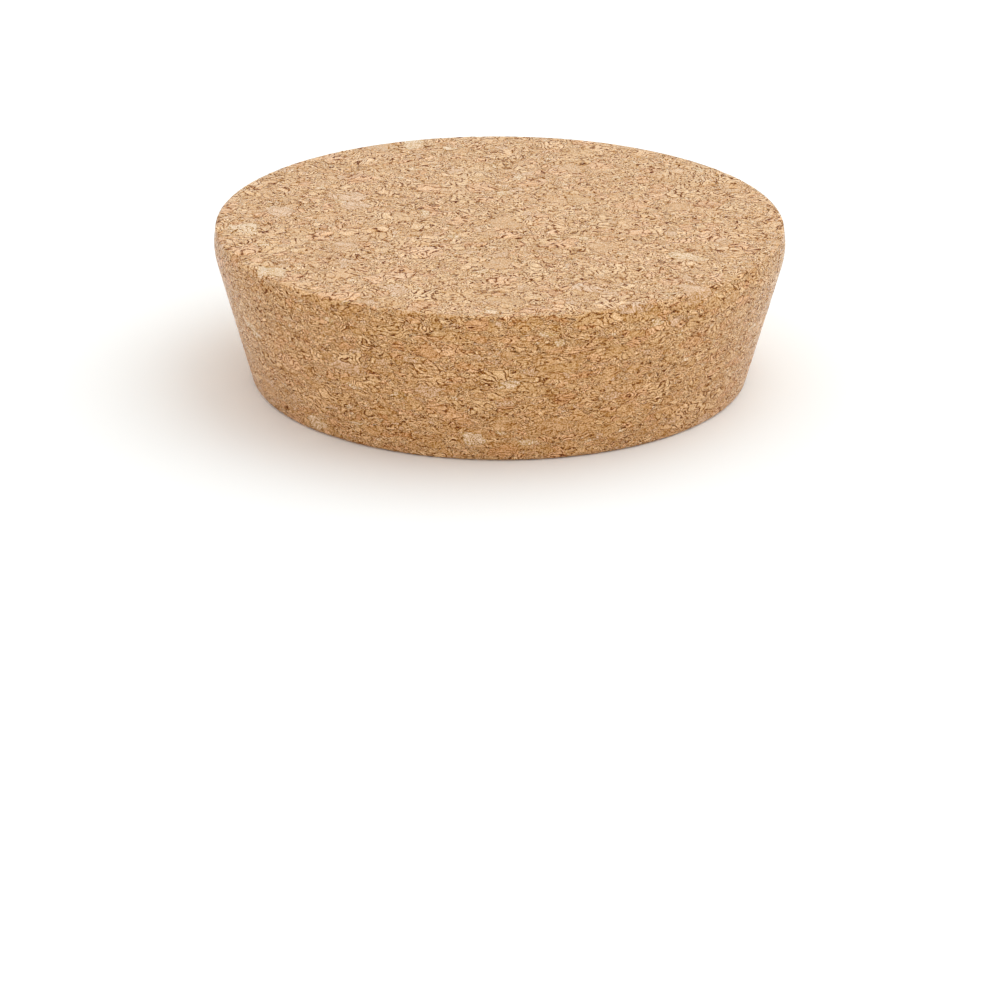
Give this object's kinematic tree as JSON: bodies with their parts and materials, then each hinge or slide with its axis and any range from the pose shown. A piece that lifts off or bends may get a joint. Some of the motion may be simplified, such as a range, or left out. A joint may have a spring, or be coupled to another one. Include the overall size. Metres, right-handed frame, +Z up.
{
  "type": "cork stopper",
  "caption": "Wide, shallow tapered stopper of pressed cork granules, with a crisp flat top and a near-upright rim, for closing a wide-mouthed jar.",
  "frame": {"origin": "centre of the narrow base face, on which the stopper rests", "axes": "+Z up along the axis of the taper, from the narrow base to the wide top; +X and +Y are free, because the form is round"},
  "size_m": [0.1076, 0.1076, 0.03],
  "materials": {
    "granulated_cork": "sanded pressed cork granules, matt, unsealed"
  },
  "bodies": {
    "root": {"stopper": "granulated_cork"}
  },
  "joints": []
}
